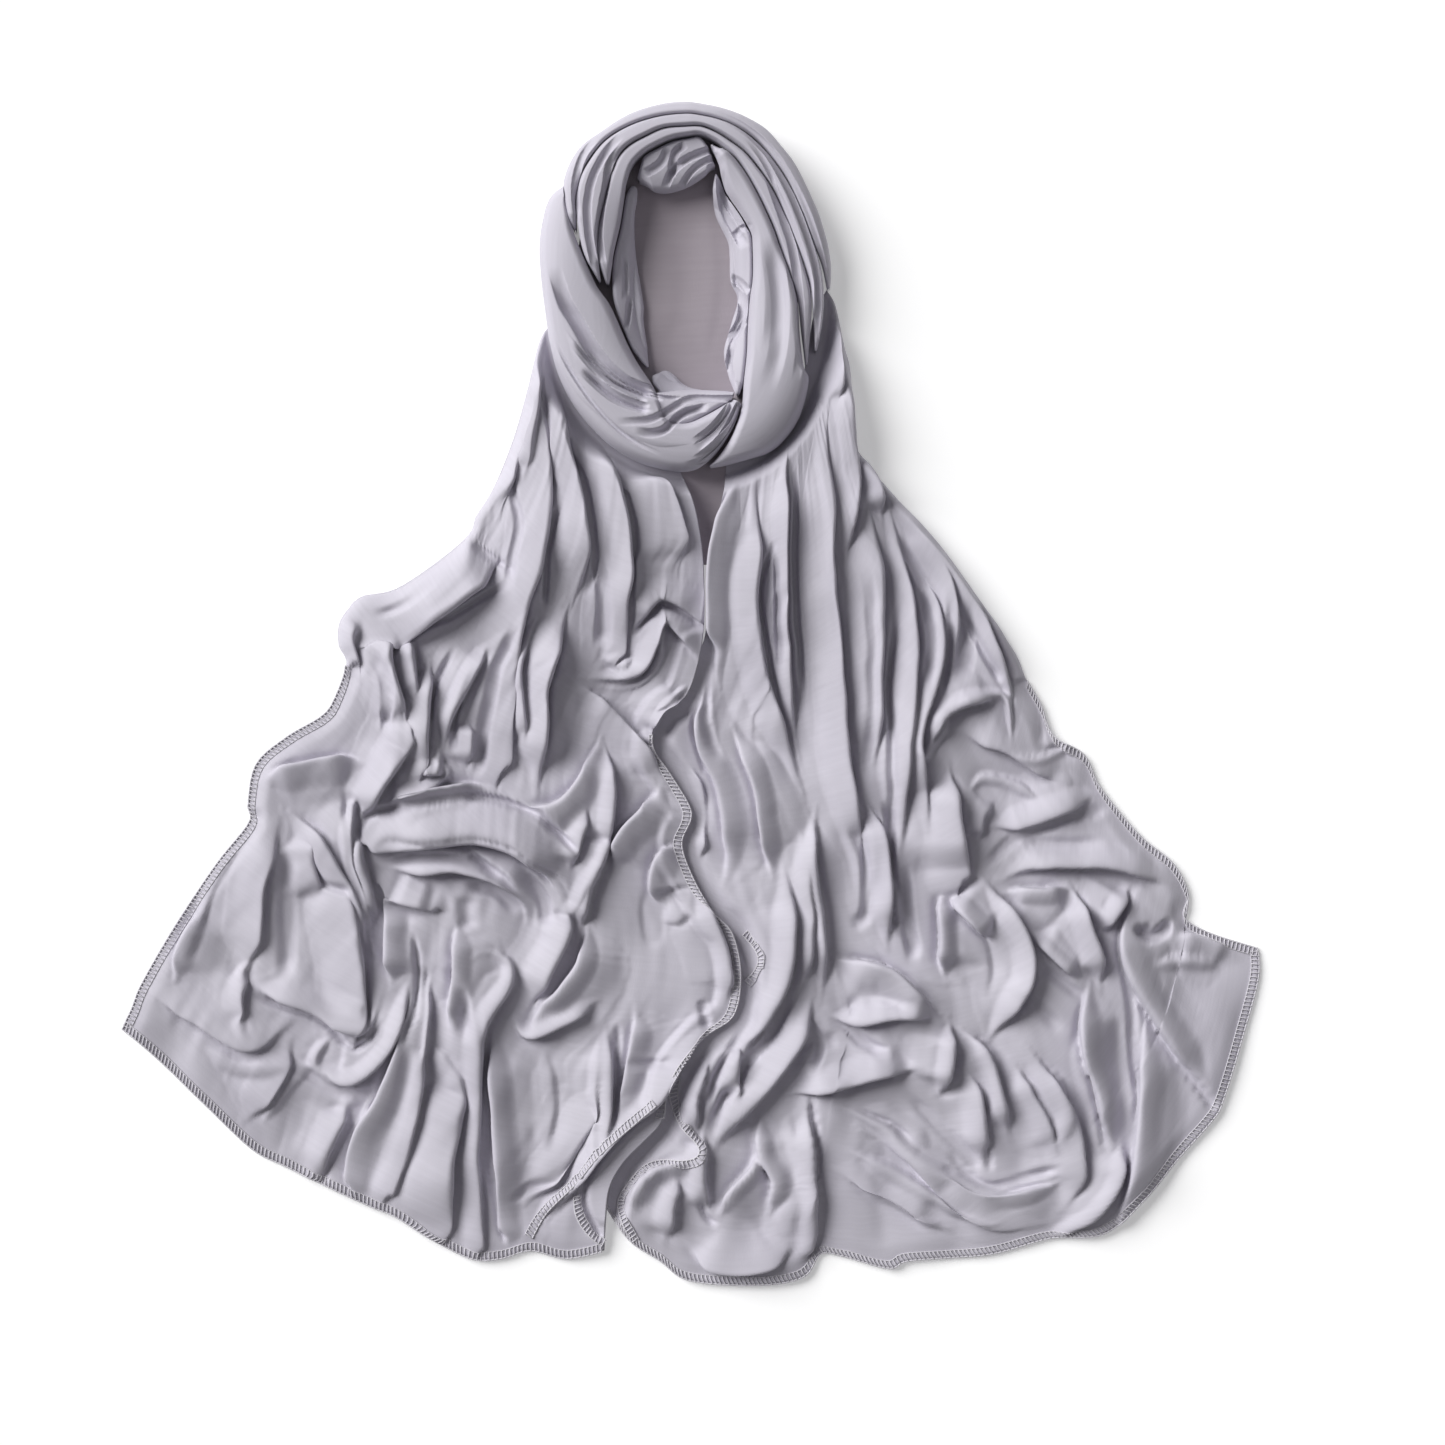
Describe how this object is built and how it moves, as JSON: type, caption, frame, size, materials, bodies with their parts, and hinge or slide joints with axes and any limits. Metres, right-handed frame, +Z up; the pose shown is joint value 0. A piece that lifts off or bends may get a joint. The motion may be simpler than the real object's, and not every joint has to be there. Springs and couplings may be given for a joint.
{
  "type": "hijab headscarf laid flat",
  "caption": "Plain jersey headscarf laid out flat: the middle is wound into an oval ring with a face opening and both ends spread below it in loose folds.",
  "frame": {"origin": "middle of the laid-out cloth's bounding box, on the surface that it lies on", "axes": "+Z up from the surface, +Y towards the crown of the wound ring, +X towards the right tail as seen from above"},
  "size_m": [0.7982, 0.8269, 0.0399],
  "materials": {
    "jersey": "matt fine-gauge jersey knit, silvery lavender grey, with a soft sheen and faint slubs across",
    "thread": "matt overlock thread in the cloth's colour"
  },
  "bodies": {
    "root": {"hood_back": "jersey", "ring_outer_crown": "jersey", "ring_middle_crown": "jersey", "ring_inner_crown": "jersey", "ring_right_roll": "jersey", "ring_left_wrap": "jersey", "ring_throat_fold": "jersey", "ruffle_left": "jersey", "ruffle_crown": "jersey", "ruffle_right": "jersey", "ruffle_throat": "jersey", "left_tail": "jersey", "right_tail": "jersey"}
  },
  "joints": []
}
